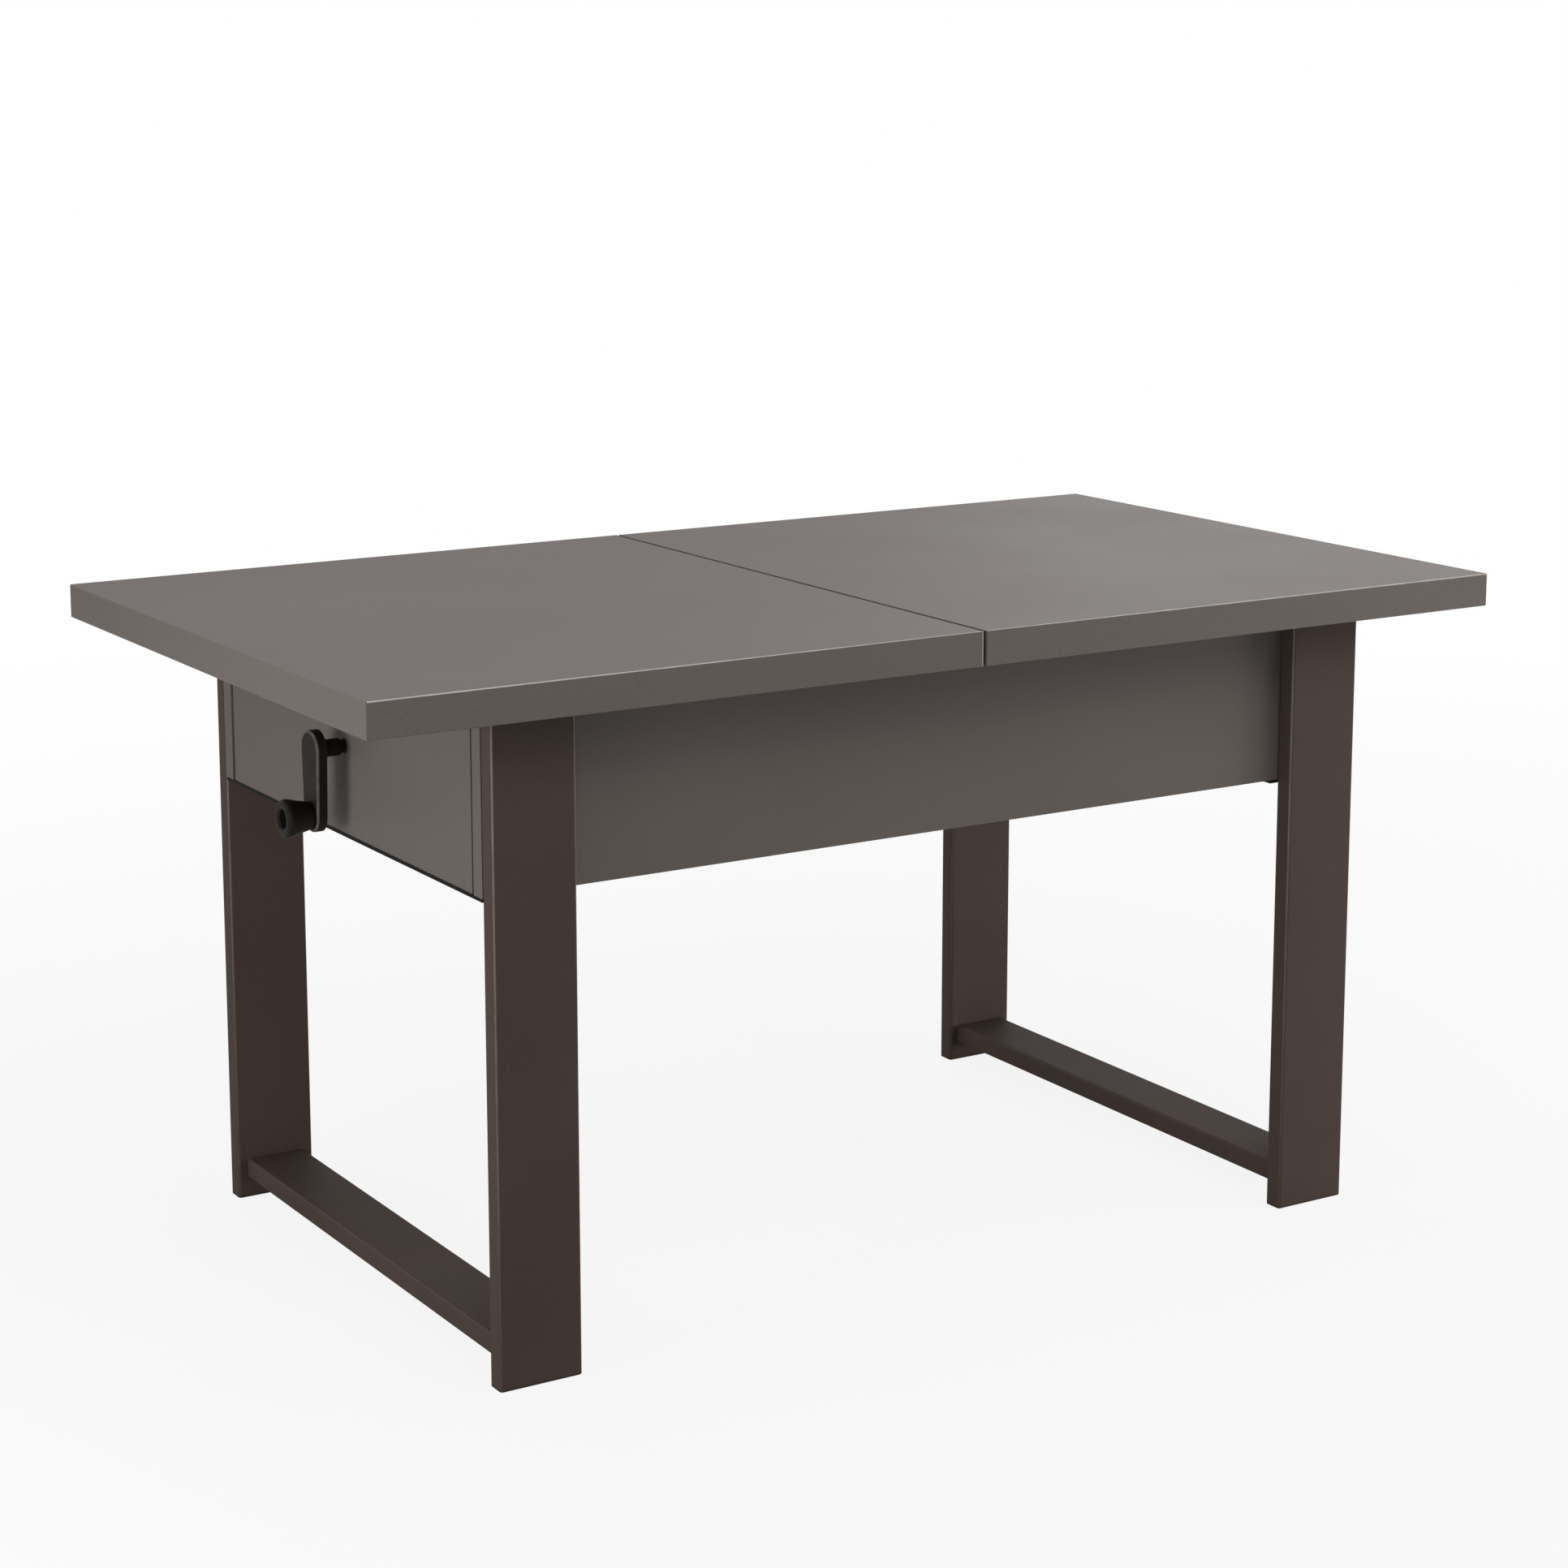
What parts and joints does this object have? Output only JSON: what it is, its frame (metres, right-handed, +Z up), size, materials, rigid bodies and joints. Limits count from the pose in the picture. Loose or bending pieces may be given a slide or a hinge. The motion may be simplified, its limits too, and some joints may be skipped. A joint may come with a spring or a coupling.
{
  "type": "convertible coffee table",
  "caption": "Coffee table with a crank that lifts its top, halves of the top that slide apart over a box holding a folded leaf, and flat steel leg frames.",
  "frame": {"origin": "on the floor, under the middle of the table with its top down and closed", "axes": "+X along the table's length, away from the crank; +Y across it, towards the back; +Z up"},
  "size_m": [1.2, 0.67, 0.624],
  "materials": {
    "grey_board": "matt grey melamine with matching edge band",
    "brown_steel": "satin dark brown powder coat",
    "black_steel": "matt black powder coat",
    "dark_plastic": "moulded, matt",
    "black_crank": "satin black powder coat",
    "bright_steel": "zinc plated",
    "runner_alloy": "extruded, plain",
    "nut_brass": "turned",
    "fibreboard": "raw hard fibreboard",
    "beech": "planed, raw"
  },
  "bodies": {
    "base": {"apron_front": "grey_board", "apron_back": "grey_board", "end_panel_left": "grey_board", "end_panel_right": "grey_board", "leaf_lower": "grey_board", "leaf_upper": "grey_board", "leg_front_left": "brown_steel", "leg_front_right": "brown_steel", "leg_back_left": "brown_steel", "leg_back_right": "brown_steel", "stretcher_left": "brown_steel", "stretcher_right": "brown_steel", "cross_plate_left": "black_steel", "cross_plate_right": "black_steel", "leg_feet": "dark_plastic", "leg_caps": "dark_plastic", "guide_sleeves": "bright_steel", "screw_stand_left": "bright_steel", "screw_stand_right": "bright_steel", "gearbox_plate_outer": "bright_steel", "gearbox_plate_inner": "bright_steel", "gearbox_posts": "bright_steel", "leg_bolts": "bright_steel", "plate_screws": "bright_steel", "leaf_hinges": "bright_steel", "box_floor": "fibreboard", "leaf_battens": "beech", "carcass_dowels": "beech"},
    "lift": {"rail_front": "bright_steel", "rail_back": "bright_steel", "crossbar_left": "bright_steel", "crossbar_right": "bright_steel", "lift_nut_left": "nut_brass", "lift_nut_right": "nut_brass", "post_brackets": "bright_steel", "guide_post_front_left": "bright_steel", "guide_post_front_right": "bright_steel", "guide_post_back_left": "bright_steel", "guide_post_back_right": "bright_steel"},
    "top_left": {"top_left": "grey_board", "runner_front_left": "runner_alloy", "runner_back_left": "runner_alloy", "runner_screws_left": "bright_steel"},
    "top_right": {"top_right": "grey_board", "runner_front_right": "runner_alloy", "runner_back_right": "runner_alloy", "runner_screws_right": "bright_steel", "seam_dowels": "beech"},
    "crank": {"crank_shaft": "black_crank", "crank_arm": "black_crank", "crank_gear": "bright_steel", "crank_pin": "black_crank"},
    "crank_knob": {"crank_knob": "black_crank"},
    "main_shaft": {"main_shaft": "bright_steel", "main_gear": "bright_steel", "shaft_bevels": "bright_steel"},
    "screw_left": {"lift_screw_left": "bright_steel", "screw_bevel_left": "bright_steel"},
    "screw_right": {"lift_screw_right": "bright_steel", "screw_bevel_right": "bright_steel"}
  },
  "joints": [
    {"name": "lift", "type": "slide", "parent": "base", "child": "lift", "axis": [0, 0, 1], "range_m": [0, 0.096]},
    {"name": "top_left_slide", "type": "slide", "parent": "lift", "child": "top_left", "axis": [-1, 0, 0], "range_m": [0, 0.2]},
    {"name": "top_right_slide", "type": "slide", "parent": "lift", "child": "top_right", "axis": [1, 0, 0], "range_m": [0, 0.2]},
    {"name": "crank_turn", "type": "hinge", "parent": "base", "child": "crank", "pos_m": [-0.5, 0, 0.512], "axis": [1, 0, 0], "range_deg": [0, 3086.2]},
    {"name": "crank_knob_spin", "type": "hinge", "parent": "crank", "child": "crank_knob", "pos_m": [-0.52, 0, 0.452], "axis": [1, 0, 0], "continuous": true},
    {"name": "main_shaft_turn", "type": "hinge", "parent": "base", "child": "main_shaft", "pos_m": [0, 0, 0.455], "axis": [1, 0, 0], "range_deg": [-8641, 0]},
    {"name": "screw_left_turn", "type": "hinge", "parent": "base", "child": "screw_left", "pos_m": [-0.3, 0, 0.5], "axis": [0, 0, 1], "range_deg": [-8641, 0]},
    {"name": "screw_right_turn", "type": "hinge", "parent": "base", "child": "screw_right", "pos_m": [0.3, 0, 0.5], "axis": [0, 0, 1], "range_deg": [-8641, 0]}
  ],
  "couplings": [
    {"joint": "crank_turn", "follows": "lift", "rad_per_m": 561},
    {"joint": "main_shaft_turn", "follows": "lift", "rad_per_m": -1570.8},
    {"joint": "screw_left_turn", "follows": "lift", "rad_per_m": -1570.8},
    {"joint": "screw_right_turn", "follows": "lift", "rad_per_m": -1570.8}
  ]
}
